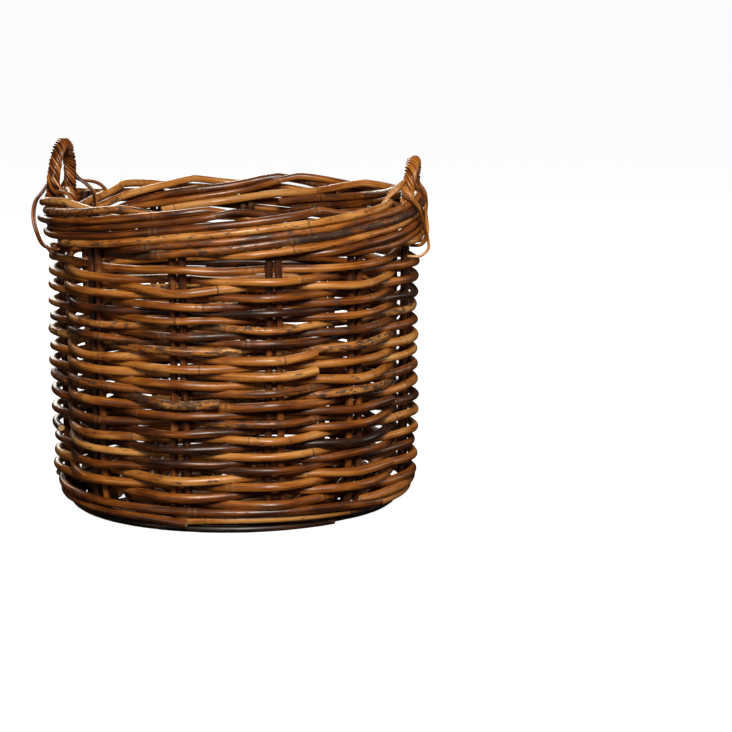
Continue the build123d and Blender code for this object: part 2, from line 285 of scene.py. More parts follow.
def lay_border_rod(number):
    """A rim rod: its tail inside, out through a gap, up round the outside, over, and down inside."""
    dice = np.random.default_rng(300 + number)
    even = number * PAIRS / BORDER_RODS
    gap = math.floor(even) + 0.5
    start = gap + 0.3 * (even - gap)
    over = BORDER_OUTSIDE + dice.uniform(-0.06, 0.06)
    tail = BORDER_TAIL + dice.uniform(-0.25, 0.1)
    end = over + BORDER_INSIDE + dice.uniform(-0.35, 0.3)
    radius = RIM_ROD_RADIUS * dice.uniform(0.82, 1.10)
    piece = f"rim_rods_{int(number * BORDER_PIECES / BORDER_RODS) + 1}"
    first = BLUNT_STARTS.get(number, start - tail)
    rod = Rod(piece, first, start + end, radius, dice)
    way = rod.steps - start
    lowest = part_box("rim_outer_1")[0].z + RIM_ROD_RADIUS
    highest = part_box("rim_outer_5")[1].z - RIM_ROD_RADIUS
    outside = smoothstep(way, -0.32, 0.32) * (1 - smoothstep(way, over - 0.36, over + 0.36))
    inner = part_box("rim_inner_1")[1].x - RIM_ROD_RADIUS
    if number in BLUNT_STARTS:
        rod.flare = BLUNT_FLARE * np.exp(-((rod.steps - first) / 0.2) ** 2)
    rod.out = inner + (rim_oval(rod.angles) - inner) * outside + rod.flare
    climb = np.interp(way, [-tail, 0, over, end], [-0.10, 0.0, 1.06, 0.28])
    crown = np.exp(-((way - over) / 0.4) ** 2)
    rod.height = lowest + (highest - lowest) * climb + crown * CROWN_RISE
    rod.height = rod.height + wander(rod.length, dice, 2.0 * MM, 0.4)
    rod.side = np.where(rod.near_pair(), np.where(outside > 0.5, 1, -1), 0)
    tone = dice.choice([0.08, 0.2, 0.26, 0.32, 0.42, 0.58])
    mottle = dice.choice([0.1, 0.3, 0.5, 0.8])
    rod.tones, rod.mottle = tone, mottle
    return rod


WALE_SETBACK = 5.5 * MM  # how far the lower course lies further in
WALE_FLARE = 5 * MM  # how far the tip of a wale rod stands out
WALE_DIP = 3 * MM  # how far both of its ends lie lower
# Bottom ring rods: (course, first step, last step, tone, mottle).  They stay outside all stakes.
WALE_RODS = [
    (1, -1.45, 3.25, 0.52, 0.2),
    (1, 3.05, 6.6, 0.40, 0.3),
    (1, 6.4, 9.75, 0.60, 0.2),
    (0, 0.93, 5.2, 0.10, 0.3),
    (0, 5.0, 9.1, 0.45, 0.4),
    (0, 8.9, 12.1, 0.62, 0.2),
]


def lay_wale_rod(number, course, first, last, tone, mottle):
    """A ring rod that locks the stakes where they turn in under the wall."""
    dice = np.random.default_rng(500 + number)
    rod = Rod("bottom_rods", first, last, WEAVER_RADIUS * dice.uniform(0.98, 1.08), dice)
    low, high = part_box("bottom_wale")
    heights = (low.z + WEAVER_RADIUS, high.z - WEAVER_RADIUS)
    widest = high.x - WEAVER_RADIUS
    lie = (widest - WALE_SETBACK, widest)
    drift = wander(rod.length, dice, 0.8 * MM, 0.5)
    ends = np.minimum(rod.steps - first, last - rod.steps)
    rod.out = lie[course] + WALE_FLARE * np.exp(-((last - rod.steps) / 0.2) ** 2) + drift * 0.5
    rod.height = heights[course] - WALE_DIP * np.exp(-(ends / 0.3) ** 2) + drift
    rod.side = np.where(rod.near_pair(), 1, 0)
    rod.tones, rod.mottle = tone, mottle
    return rod


# Rods that the basket stands on: (first step, last step, distance out, size of its sway).
FOOT_RODS = [
    (0.4, 6.3, 243.0, 2.5),
    (6.0, 11.8, 242.0, 2.0),
    (3.1, 9.5, 229.5, 2.0),
    (9.2, 14.4, 229.5, 2.0),
    (-0.9, 2.8, 255.0, 1.5),
    (4.6, 8.3, 255.0, 1.5),
]
FOOT_THIN_FROM = 250  # distance out, in millimetres, from where the foot rods are thinner
FOOT_THIN_SHARE = 0.82


def lay_foot_rod(number, first, last, out, sway):
    """A thick ring rod under the base."""
    dice = np.random.default_rng(600 + number)
    radius = FOOT_ROD_RADIUS if out < FOOT_THIN_FROM else FOOT_ROD_RADIUS * FOOT_THIN_SHARE
    rod = Rod("foot_rods", first, last, radius, dice)
    rod.out = out * MM + wander(rod.length, dice, sway * MM, 0.7)
    rod.height = rod.radius + FLOOR_PLAY
    rod.tones = dice.uniform(0.66, 0.86)
    return rod


# ---- settling ----
def slot_table(columns, empty):
    """For each column, the rods' points that lie in it, filled up with an empty mark."""
    found = [np.nonzero(columns % COLUMNS == column)[0] for column in range(COLUMNS)]
    table = np.full((COLUMNS, max(len(points) for points in found)), empty)
    for column, points in enumerate(found):
        table[column, :len(points)] = points
    return table


def smoothed(values, ends, kernel):
    """Each rod's values, averaged along it."""
    reach = len(kernel) // 2
    result = np.empty_like(values)
    for first, last in ends:
        for channel in range(values.shape[1]):
            padded = np.pad(values[first:last, channel], reach, mode="edge")
            result[first:last, channel] = np.convolve(padded, kernel, mode="valid")
    return result


def settle(rods):
    """Push the rods of the wall apart and out of the stakes, until little overlap is left."""
    target = np.concatenate([np.stack([rod.out, rod.height], axis=1) for rod in rods])
    radius = np.concatenate([rod.radius for rod in rods])
    side = np.concatenate([rod.side for rod in rods])
    counts = np.cumsum([0] + [len(rod.columns) for rod in rods])
    ends = list(zip(counts[:-1], counts[1:]))
    table = slot_table(np.concatenate([rod.columns for rod in rods]), len(radius))
    far = np.array([[9.0, 9.0]])
    radii = np.append(radius, 0)[table]
    want = radii[:, :, None] + radii[:, None, :]
    apart = ~np.eye(table.shape[1], dtype=bool)[None] & (table < len(radius))[:, :, None]
    kernel = np.array([1, 2, 3, 4, 3, 2, 1]) / 16
    shift = np.zeros_like(target)
    for _ in range(SETTLE_ROUNDS):
        place = np.concatenate([target + shift, far])[table]
        gap = place[:, :, None] - place[:, None, :]
        distance = np.maximum(np.linalg.norm(gap, axis=3), 1e-6)
        overlap = np.where(apart & (distance < want), want - distance, 0)
        push = (gap * (overlap / distance)[..., None]).sum(axis=2) * SETTLE_SHARE
        moved = np.zeros((len(radius) + 1, 2))
        moved[table] = push
        shift += moved[:-1]
        shift = 0.45 * shift + 0.55 * smoothed(shift, ends, kernel)
        place = target + shift
        limit = stake_line(place[:, 1]) + side * (STAKE_RADIUS + radius)
        held = (side != 0) & (place[:, 1] < STAKE_TOP) & (place[:, 1] > STAKE_LOW - 10 * MM)
        short = np.where(held, np.maximum(0, (limit - place[:, 0]) * side) * side, 0)
        shift[:, 0] += short
        shift[:, 1] += np.maximum(0, radius + FLOOR_PLAY - place[:, 1])
    for rod, (first, last) in zip(rods, ends):
        rod.out = target[first:last, 0] + shift[first:last, 0]
        rod.height = target[first:last, 1] + shift[first:last, 1]
    worst = float(overlap.max()) / MM
    print(f"settled {len(rods)} rods; the deepest overlap left is {worst:.2f} mm")


# ---- tubes ----
def unit(vectors):
    return vectors / np.maximum(np.linalg.norm(vectors, axis=-1, keepdims=True), 1e-9)


def smooth_line(points, spacing):
    """A smooth curve through points, read off at even spacing.  Extra channels go along."""
    runs = np.linalg.norm(np.diff(points[:, :3], axis=0), axis=1)
    length = np.concatenate([[0], np.cumsum(runs)])
    slopes = np.gradient(points, length, axis=0)
    wanted = np.linspace(0, length[-1], max(3, int(round(length[-1] / spacing)) + 1))
    index = np.clip(np.searchsorted(length, wanted, side="right") - 1, 0, len(runs) - 1)
    run = runs[index][:, None]
    share = (wanted - length[index])[:, None] / run
    low = points[index] * (2 * share ** 3 - 3 * share ** 2 + 1)
    low = low + slopes[index] * run * (share ** 3 - 2 * share ** 2 + share)
    high = points[index + 1] * (3 * share ** 2 - 2 * share ** 3)
    high = high + slopes[index + 1] * run * (share ** 3 - share ** 2)
    return low + high, wanted


def add_object(name, data):
    """A new object of the scene."""
    thing = bpy.data.objects.new(name, data)
    bpy.context.scene.collection.objects.link(thing)
    return thing


class Bundle:
    """Tubes that go into one mesh object."""

    def __init__(self):
        self.patches = []
        self.faces = []
        self.count = 0

    def add(self, points, faces, space, look, node):
        """Take in one patch of mesh, with what its material needs at each vertex."""
        self.patches.append((points, space, look, node))
        self.faces += (faces + self.count).tolist()
        self.count += len(points)

    def make(self, name, material, slot, replaced):
        """The finished piece."""
        mesh = bpy.data.meshes.new(name)
        points, space, look, node = (np.concatenate(parts) for parts in zip(*self.patches))
        mesh.from_pydata(points.tolist(), [], self.faces)
        for label, kind, key, values in (
            ("rod_space", "FLOAT_VECTOR", "vector", space),
            ("rod_look", "FLOAT_VECTOR", "vector", look),
            ("rod_node", "FLOAT", "value", node),
        ):
            attribute = mesh.attributes.new(label, kind, "POINT")
            attribute.data.foreach_set(key, values.astype(np.float32).ravel())
        mesh.materials.append(material)
        mesh.shade_smooth()
        mesh.validate()
        piece = add_object(name, mesh)
        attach(piece, "root")
        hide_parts(*replaced)
        return piece


def end_profile(length, radius, round_end):
    """Share of the full radius, which is a little less at the cut ends."""
    to_end = np.minimum(length, length[-1] - length)
    edge = radius * round_end
    share = np.clip(to_end / np.maximum(edge, 1e-6), 0, 1)
    return 0.80 + 0.20 * np.sqrt(1 - (1 - share) ** 2)


def with_end_rings(points, length, edge):
    """Put two close rings at each end, so that the cut edge is crisp."""
    extra = np.array([0.0, edge * 0.35, edge])
    inner = length[(length > edge * 1.5) & (length < length[-1] - edge * 1.5)]
    wanted = np.concatenate([extra, inner, length[-1] - extra[::-1]])
    channels = [np.interp(wanted, length, points[:, channel]) for channel in range(points.shape[1])]
    return np.stack(channels, axis=1), wanted


def node_places(total, dice, spread=(0.16, 0.36)):
    """Where the nodes of a rod are, along it."""
    places = [dice.uniform(0.02, spread[1])]
    while places[-1] < total:
        places.append(places[-1] + dice.uniform(*spread))
    return np.array(places)


def across_tube(centre, length, facing):
    """The direction of a tube at each point, and two directions square to it and to each other."""
    direction = unit(np.gradient(centre, length, axis=0))
    first = unit(facing - (facing * direction).sum(axis=1, keepdims=True) * direction)
    return direction, first, np.cross(direction, first)


def tube_rings(centre, radius, length, axes, dice, around, slant):
    """The vertices round a slightly oval tube whose ends are cut a little askew."""
    direction, first, second = axes
    turn = np.linspace(0, 2 * math.pi, around, endpoint=False)
    oval = 1 + 0.035 * np.cos(2 * turn[None, :] + dice.uniform(0, 6.3) + 3 * length[:, None])
    spread = radius[:, None] * oval
    ring = centre[:, None, :] + spread[..., None] * (
        np.cos(turn)[None, :, None] * first[:, None, :] + np.sin(turn)[None, :, None] * second[:, None, :])
    for sign, from_end in ((-1, length), (1, length[-1] - length)):
        tilt = slant * dice.uniform(-1, 1)
        lead = dice.uniform(0, 2 * math.pi)
        weight = np.clip(1 - from_end / (1.6 * radius.max()), 0, 1)
        lean = (weight * radius)[:, None] * tilt * np.cos(turn[None, :] - lead)
        ring = ring + sign * lean[..., None] * direction[:, None, :]
    return ring, turn


def read_off(rule, step):
    """A tone or mottle at a step: it is one number for the whole rod, or a function."""
    return rule(step) if callable(rule) else rule


def tube_looks(length, radius, steps, places, turn, dice, tones, mottles):
    """What the material needs at each vertex: its place in the rod, and its tone and mottle."""
    internode = np.searchsorted(places, length)
    middle = [float(steps[internode == index].mean()) if (internode == index).any() else 0.0
              for index in range(internode.max() + 1)]
    tone = np.array([read_off(tones, step) + dice.normal(0, 0.07) for step in middle])[internode]
    mottle = np.array([read_off(mottles, step) + dice.normal(0, 0.12) for step in middle])[internode]
    seed = dice.uniform(0, 40, 3)
    around = len(turn)
    space = np.stack([
        np.repeat(length[:, None], around, axis=1) + seed[0],
        np.cos(turn)[None, :] * radius[:, None] + seed[1],
        np.sin(turn)[None, :] * radius[:, None] + seed[2],
    ], axis=2)
    look = np.stack([
        np.repeat(tone[:, None], around, axis=1),
        np.repeat(np.clip(mottle, 0, 1)[:, None], around, axis=1),
        np.zeros((len(length), around)),
    ], axis=2)
    return space, look


def add_tube(bundle, points, facing, dice, tones, mottles, crook=ROD_CROOK, swell=0.05, slant=0.25,
             around=AROUND, spacing=SPACING, nodes=True):
    """One rod: points has x, y, z, radius and step; facing gives the direction of the tube's first side."""
    joined = np.concatenate([points, facing], axis=1)
    line, length = smooth_line(joined, spacing)
    edge = 1.3 * MM
    line, length = with_end_rings(line, length, edge)
    total = length[-1]
    centre, radius, steps, facing = line[:, :3], line[:, 3], line[:, 4], line[:, 5:8]
    direction, first, second = across_tube(centre, length, facing)

    places = node_places(total, dice) if nodes else np.array([total + 1])
    marks = np.concatenate([[0], places[places < total], [total]])
    for axis in (first, second):
        kinks = dice.normal(0, crook, len(marks))
        centre = centre + axis * np.interp(length, marks, kinks)[:, None]
    to_node = np.abs(length[:, None] - places[None, :]).min(axis=1)
    bulge = np.exp(-(to_node / (3.4 * MM)) ** 2)
    hollow = np.exp(-((to_node - 7 * MM) / (4 * MM)) ** 2)
    profile = 1 + swell * bulge - 0.4 * swell * hollow
    radius = radius * profile * (1 + wander(length, dice, 0.015, 0.05))
    radius = radius * end_profile(length, radius, edge / radius.mean())

    ring, turn = tube_rings(centre, radius, length, (direction, first, second), dice, around, slant)
    space, look = tube_looks(length, radius, steps, places, turn, dice, tones, mottles)
    rings = len(length)
    node = np.repeat(to_node[:, None], around, axis=1)
    row, column = np.meshgrid(np.arange(rings - 1), np.arange(around), indexing="ij")
    beside = (column + 1) % around
    quads = np.stack([
        row * around + column, row * around + beside,
        (row + 1) * around + beside, (row + 1) * around + column,
    ], axis=-1).reshape(-1, 4)
    bundle.add(ring.reshape(-1, 3), quads, space.reshape(-1, 3), look.reshape(-1, 3), node.ravel())
    for index, order in ((0, slice(None, None, -1)), (rings - 1, slice(None))):
        cut = look[index].copy()
        cut[:, 2] = 1.0
        flat = np.arange(around)[order][None, :]
        bundle.add(ring[index], flat, space[index], cut, node[index] + 1)


def tube_rows(points, radius, steps=0.0):
    """The points with a radius and a step each, as add_tube takes them."""
    count = len(points)
    return np.column_stack([points, np.broadcast_to(radius, count), np.broadcast_to(steps, count)])


def same_way(direction, points):
    """One direction for all points."""
    return np.tile(np.array(direction, dtype=float), (len(points), 1))


def wall_points(rod):
    """A rod's columns as rows for add_tube, and its outward directions."""
    outward = np.stack([np.cos(rod.angles), np.sin(rod.angles), np.zeros_like(rod.angles)], axis=1)
    places = outward * rod.out[:, None] + UP * rod.height[:, None]
    return tube_rows(places, rod.radius, rod.steps), outward


# ---- node materials ----
class Nodes:
    """Short names for building a material's node tree."""

    def __init__(self, name):
        self.material = bpy.data.materials.new(name)
        self.material.use_nodes = True
        self.tree = self.material.node_tree
        self.tree.nodes.clear()

    def add(self, kind, inputs=(), **settings):
        node = self.tree.nodes.new(kind)
        for key, value in settings.items():
            setattr(node, key, value)
        for key, value in dict(inputs).items():
            self.put(node.inputs[key], value)
        return node

    def put(self, socket, value):
        if isinstance(value, bpy.types.NodeSocket):
            self.tree.links.new(value, socket)
        else:
            socket.default_value = value

    def finish(self, shader):
        """The material, with this shader as its surface."""
        self.add("ShaderNodeOutputMaterial", {"Surface": shader.outputs[0]})
        return self.material

    def maths(self, operation, first, second=0.0, third=0.0, clamp=False):
        node = self.add("ShaderNodeMath", operation=operation, use_clamp=clamp)
        for socket, value in zip(node.inputs, (first, second, third)):
            self.put(socket, value)
        return node.outputs[0]

    def stretch(self, vector, scale):
        node = self.add("ShaderNodeVectorMath", operation="MULTIPLY")
        self.put(node.inputs[0], vector)
        self.put(node.inputs[1], scale)
        return node.outputs[0]

    def noise(self, vector, detail=3.0, roughness=0.5):
        node = self.add("ShaderNodeTexNoise", {"Scale": 1.0, "Detail": detail, "Roughness": roughness})
        self.put(node.inputs["Vector"], vector)
        return node.outputs[0]

    def ramp(self, value, low, high):
        """From 0 at low to 1 at high, smoothly."""
        node = self.add("ShaderNodeMapRange", interpolation_type="SMOOTHSTEP")
        self.put(node.inputs["Value"], value)
        self.put(node.inputs["From Min"], low)
        self.put(node.inputs["From Max"], high)
        return node.outputs[0]

    def colours(self, value, stops):
        node = self.add("ShaderNodeValToRGB")
        elements = node.color_ramp.elements
        while len(elements) < len(stops):
            elements.new(0.5)
        for element, (position, colour) in zip(elements, stops):
            element.position = position
            element.color = (*colour, 1)
        self.put(node.inputs[0], value)
        return node.outputs[0]

    def mix(self, share, first, second):
        node = self.add("ShaderNodeMix", data_type="RGBA")
        self.put(node.inputs["Factor"], share)
        for socket, value in ((node.inputs[6], first), (node.inputs[7], second)):
            self.put(socket, value if isinstance(value, bpy.types.NodeSocket) else (*value, 1))
        return node.outputs[2]


RATTAN_TONES = [
    (0.00, (0.520, 0.250, 0.068)),
    (0.22, (0.400, 0.148, 0.024)),
    (0.42, (0.240, 0.070, 0.0085)),
    (0.62, (0.115, 0.029, 0.004)),
    (0.82, (0.042, 0.012, 0.004)),
    (1.00, (0.013, 0.005, 0.003)),
]


def rattan(name, darker=0.0, gloss=0.34, coat=0.08):
    """Varnished whole rattan: its tone drifts, with grain streaks, black mottling and node rings."""
    make = Nodes(name)
    space = make.add("ShaderNodeAttribute", attribute_name="rod_space").outputs["Vector"]
    look = make.add("ShaderNodeAttribute", attribute_name="rod_look").outputs["Vector"]
    to_node = make.add("ShaderNodeAttribute", attribute_name="rod_node").outputs["Fac"]
    split = make.add("ShaderNodeSeparateXYZ", {"Vector": look})
    tone, mottle, cut = split.outputs

    drift = make.noise(make.stretch(space, (16, 60, 60)), 2.0)
    streaks = make.noise(make.stretch(space, (9, 420, 420)), 3.0, 0.6)
    fibre = make.noise(make.stretch(space, (45, 1700, 1700)), 2.0, 0.6)
    tone = make.maths("MULTIPLY_ADD", make.maths("SUBTRACT", drift, 0.5), 1.1, tone)
    tone = make.maths("MULTIPLY_ADD", make.maths("SUBTRACT", streaks, 0.5), 1.0, tone)
    tone = make.maths("ADD", tone, darker)
    colour = make.colours(tone, RATTAN_TONES)

    blotches = make.noise(make.stretch(space, (70, 190, 190)), 6.0, 0.72)
    edge = make.maths("MULTIPLY_ADD", mottle, -0.19, 0.655)
    patch = make.ramp(blotches, edge, make.maths("ADD", edge, 0.05))
    colour = make.mix(make.maths("MULTIPLY", patch, 0.88), colour, (0.022, 0.013, 0.010))
    dots = make.noise(make.stretch(space, (420, 560, 560)), 2.0, 0.5)
    speck_edge = make.maths("MULTIPLY_ADD", mottle, -0.08, 0.735)
    specks = make.ramp(dots, speck_edge, make.maths("ADD", speck_edge, 0.03))
    colour = make.mix(make.maths("MULTIPLY", specks, 0.8), colour, (0.030, 0.015, 0.009))
    scuffs = make.noise(make.stretch(space, (130, 420, 420)), 4.0, 0.7)
    worn = make.ramp(scuffs, make.maths("MULTIPLY_ADD", mottle, -0.06, 0.66), 0.72)
    colour = make.mix(make.maths("MULTIPLY", worn, 0.45), colour, (0.62, 0.38, 0.17))

    ragged = make.maths("MULTIPLY_ADD", make.maths("SUBTRACT", streaks, 0.5), 0.0035, to_node)
    ring = make.maths("SUBTRACT", 1.0, make.ramp(ragged, 0.0006, 0.0019))
    collar = make.maths("SUBTRACT", make.ramp(ragged, 0.0015, 0.0024), make.ramp(ragged, 0.0045, 0.009))
    colour = make.mix(make.maths("MULTIPLY", collar, 0.08), colour, (0.60, 0.36, 0.15))
    colour = make.mix(make.maths("MULTIPLY", ring, 0.65), colour, (0.050, 0.020, 0.010))

    pores = make.noise(make.stretch(space, (300, 1500, 1500)), 2.0, 0.6)
    wood = make.colours(pores, [(0.35, (0.20, 0.10, 0.045)), (0.62, (0.55, 0.34, 0.17))])
    colour = make.mix(cut, colour, wood)

    rough = make.maths("MULTIPLY_ADD", patch, 0.22, gloss)
    rough = make.maths("MULTIPLY_ADD", make.maths("SUBTRACT", fibre, 0.5), 0.25, rough)
    rough = make.maths("MULTIPLY_ADD", cut, 0.3, rough, clamp=True)
    relief = make.maths("MULTIPLY_ADD", streaks, 0.5, make.maths("MULTIPLY", fibre, 0.22))
    relief = make.maths("MULTIPLY_ADD", patch, -0.35, relief)
    relief = make.maths("MULTIPLY_ADD", ring, -0.6, relief)
    relief = make.maths("MULTIPLY_ADD", blotches, 0.4, relief)
    bump = make.add("ShaderNodeBump", {"Strength": 0.55, "Distance": 0.0009, "Height": relief})
    shader = make.add("ShaderNodeBsdfPrincipled", {
        "Base Color": colour,
        "Roughness": rough,
        "Normal": bump.outputs[0],
        "Coat Weight": coat,
        "Coat Roughness": 0.22,
        "IOR": 1.48,
    })
    return make.finish(shader)


# ---- pieces of the wall ----
def lay_wall():
    """All rods that wind round the wall, settled against each other."""
    joins = WEAVE_JOINS + [2 * PAIRS * len(BAND_NODES) - 1]
    rods = [lay_weaver(number, joins[number], joins[number + 1]) for number in range(len(WEAVE_JOINS))]
    rods += [lay_border_rod(number) for number in range(BORDER_RODS)]
    rods += [lay_wale_rod(number, *facts) for number, facts in enumerate(WALE_RODS)]
    rods += [lay_foot_rod(number, *facts) for number, facts in enumerate(FOOT_RODS)]
    settle(rods)
    return rods


def draw_wall(rods, materials):
    """Draw the settled rods, each in its own piece."""
    replaced = {f"weave_rods_{number + 1:02d}": [node] for number, node in enumerate(BAND_NODES)}
    for number in range(BORDER_PIECES):
        nodes = [f"rim_outer_{number + 1}", f"rim_inner_{number + 1}"]
        replaced[f"rim_rods_{number + 1}"] = [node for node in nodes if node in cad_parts]
    replaced["bottom_rods"] = ["bottom_wale"]
    replaced["foot_rods"] = ["foot_ring"]
    for name, nodes in replaced.items():
        bundle = Bundle()
        for rod in rods:
            if rod.piece == name:
                points, outward = wall_points(rod)
                crook = FOOT_CROOK if name == "foot_rods" else ROD_CROOK
                add_tube(bundle, points, outward, rod.dice, rod.tones, rod.mottle, crook)
        slot = "foot_rods" if name == "foot_rods" else "weaving_rods"
        bundle.make(name, materials[slot], slot, nodes)


def stake_points(index, side, dice):
    """Route of one stake: its tail in the base, the bend, and the upright."""
    angle = PAIR_ANGLES[index]
    outward = np.array([math.cos(angle), math.sin(angle), 0])
    along = np.array([-math.sin(angle), math.cos(angle), 0])
    bend_start = STAKE_LINE_LOW - STAKE_BEND
    gaps = (HALF_GAP_LOW * side, HALF_GAP_TOP * side)
    points = [outward * out + UP * BASE_LEVEL for out in np.linspace(STAKE_TAIL_END, bend_start, 5)]
    for turn in np.linspace(0, math.pi / 2, 7)[1:-1]:
        out = bend_start + STAKE_BEND * math.sin(turn)
        points.append(outward * out + UP * (BASE_LEVEL + STAKE_BEND * (1 - math.cos(turn))))
    heights = np.linspace(BASE_LEVEL + STAKE_BEND, STAKE_TOP - 1 * MM, 16)
    points += [outward * stake_line(height) + UP * height for height in heights]
    points = np.array(points)
    share = np.clip(points[:, 2] / STAKE_TOP, 0, 1)
    sway = wander(points[:, 2], dice, 0.9 * MM, 0.4)
    offset = gaps[0] + (gaps[1] - gaps[0]) * np.minimum(1, share * 1.8) + sway * share
    points = points + along * offset[:, None]
    radius = STAKE_RADIUS * (1 + wander(points[:, 2], dice, 0.03, 0.5))
    return tube_rows(points, radius), same_way(along, points)


def draw_stakes(material):
    """The eleven pairs of uprights."""
    bundle = Bundle()
    for index in range(PAIRS):
        for side in (-1, 1):
            dice = np.random.default_rng(700 + 2 * index + side)
            points, facing = stake_points(index, side, dice)
            # The stakes get dark tones as painted shade, for the shade they stand in behind the weavers;
            # their material darkens them further.
            tone = dice.uniform(0.45, 0.68)
            add_tube(bundle, points, facing, dice, tone, 0.15, around=14, crook=0.3 * MM)
    bundle.make("stakes", material, "stakes", STAKE_NODES)


# ---- base ----
# Base sticks: place in the cross, then the pairs at their two ends, right and left or front and back.
LOWER_STICKS = [(-1, 3, 10), (0, 4, 9), (1, 5, 8)]
UPPER_STICKS = [(-1, 0, 7), (1, 2, 6)]
HALF_STICK_END = 1
CROSS_HALF_LENGTH = 34 * MM
CROSS_SPACING = 12.4 * MM
STICK_SPREAD = 76 * MM


def stick_end(index):
    """Outer end of a base stick and the place where it has fanned out."""
    reach = max(math.hypot(*point[:2]) for point in node_points("base_sticks_upper"))
    outward = np.array([math.cos(PAIR_ANGLES[index]), math.sin(PAIR_ANGLES[index]), 0])
    outs = [reach, 0.8 * reach, 0.6 * reach, 0.42 * reach, STICK_SPREAD]
    return [outward * out + UP * BASE_LEVEL for out in outs]


def cross_route(middle, side, end):
    """A stick from its outer end at a pair in through the cross."""
    return stick_end(end) + [middle + side, middle, middle - side]


def draw_stick(bundle, points, number):
    """One base stick through its points."""
    dice = np.random.default_rng(800 + number)
    points = np.array(points)
    rows = tube_rows(points, BASE_STICK_RADIUS)
    tone = dice.uniform(0.4, 0.6)
    add_tube(bundle, rows, same_way(UP, points), dice, tone, 0.2, crook=0.2 * MM, slant=0.1)


def draw_sticks(material):
    """The crossed sticks that carry the base: three below, two and a half above."""
    side = np.array([CROSS_HALF_LENGTH, 0, 0])
    layer = UP * (BASE_LEVEL - BASE_STICK_RADIUS)
    lower = Bundle()
    for row, right, left in LOWER_STICKS:
        middle = np.array([0, row * CROSS_SPACING, 0]) + layer
        draw_stick(lower, cross_route(middle, side, right) + stick_end(left)[::-1], row)
    lower.make("base_sticks_low", material, "weaving_rods", ["base_sticks_lower"])
    side = np.array([0, -CROSS_HALF_LENGTH, 0])
    layer = UP * (BASE_LEVEL + BASE_STICK_RADIUS)
    upper = Bundle()
    for row, front, back in UPPER_STICKS:
        middle = np.array([row * CROSS_SPACING, 0, 0]) + layer
        draw_stick(upper, cross_route(middle, side, front) + stick_end(back)[::-1], 10 + row)
    draw_stick(upper, cross_route(layer, side, HALF_STICK_END), 20)
    upper.make("base_sticks_high", material, "weaving_rods", ["base_sticks_upper"])


# Spirals of the base: piece, CAD node, first distance out, pitch, turns, turns before it, radius, tone.
BASE_WEAVES = [
    ("base_canes", "base_weave_inner", 82 * MM, 7.8 * MM, 3, 0, CANE_RADIUS, 0.4),
    ("base_rods", "base_weave_outer", 108 * MM, 12.2 * MM, 10, 3, BASE_ROD_RADIUS, 0.45),
]


def draw_base_weave(name, node, first_out, pitch, turns, first_turn, radius, tone, material):
    """A flat spiral that goes over one stick and under the next."""
    bundle = Bundle()
    dice = np.random.default_rng(900 + first_turn)
    first, last = first_turn * PAIRS, (first_turn + turns) * PAIRS
    rods = max(2, turns)
    cuts = np.linspace(first, last, rods + 1)
    for number in range(rods):
        steps = np.arange(cuts[number] + 0.1, cuts[number + 1] - 0.1, 0.08)
        out = first_out + pitch * (steps - first) / PAIRS
        swing = np.sin(math.pi / 2 * np.cos(math.pi * steps))
        height = BASE_LEVEL + swing * (BASE_STICK_RADIUS + radius + PLAY)
        angles = angle_at(steps)
        points = np.stack([np.cos(angles) * out, np.sin(angles) * out, height], axis=1)
        rows = tube_rows(points, radius, steps)
        own_tone = tone + dice.uniform(-0.12, 0.12)
        add_tube(bundle, rows, same_way(UP, points), dice, own_tone, 0.2,
                 crook=0.2 * MM, around=12, spacing=3 * MM)
    bundle.make(name, material, "weaving_rods", [node])


# ---- handles ----
def handle_line(side):
    """Centre line of a handle, from the bottom of its front leg over the grip to its back leg."""
    sign = HANDLES[side]
    low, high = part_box(f"handle_{side}_core")
    rim_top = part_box("rim_outer_5")[1].z
    half_span = high.y - CORE_RADIUS
    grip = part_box(f"handle_{side}_wrap")[1].z - ROPE_RADIUS
    points = node_points(f"handle_{side}_core")
    leg = points[points[:, 2] < low.z + 2 * MM]
    leg_x = abs(leg[:, 0].mean())
    lean = abs(points[points[:, 2] > high.z - MM][:, 0].mean()) - leg_x
    half = half_span - ARCH_NARROWING
    rows = [(leg_x, -half_span, low.z), (leg_x, -half_span, rim_top - LEG_STRAIGHT)]
    rows.append((leg_x + 0.5 * MM, -half_span, rim_top))
    rise = grip - rim_top
    for turn in np.linspace(0, math.pi, 13):
        up = math.sin(turn) ** ARCH_POWER
        y = -half * math.copysign(abs(math.cos(turn)), math.cos(turn))
        height = rim_top + rise * (ARCH_START + (1 - ARCH_START) * up)
        rows.append((leg_x + lean * (height - rim_top) / rise, y, height))
    rows += [(x, -y, z) for x, y, z in rows[2::-1]]
    return np.array([(sign * x, y, z) for x, y, z in rows])


def add_strand(bundle, points, radius, facing, dice, tone):
    """One thin cane strand, of a tone near the given one."""
    own = tone + dice.uniform(-0.2, 0.2)
    add_tube(bundle, tube_rows(points, radius), facing, dice, own, 0.1, crook=0,
             around=STRAND_AROUND, spacing=STRAND_SPACING, nodes=False)


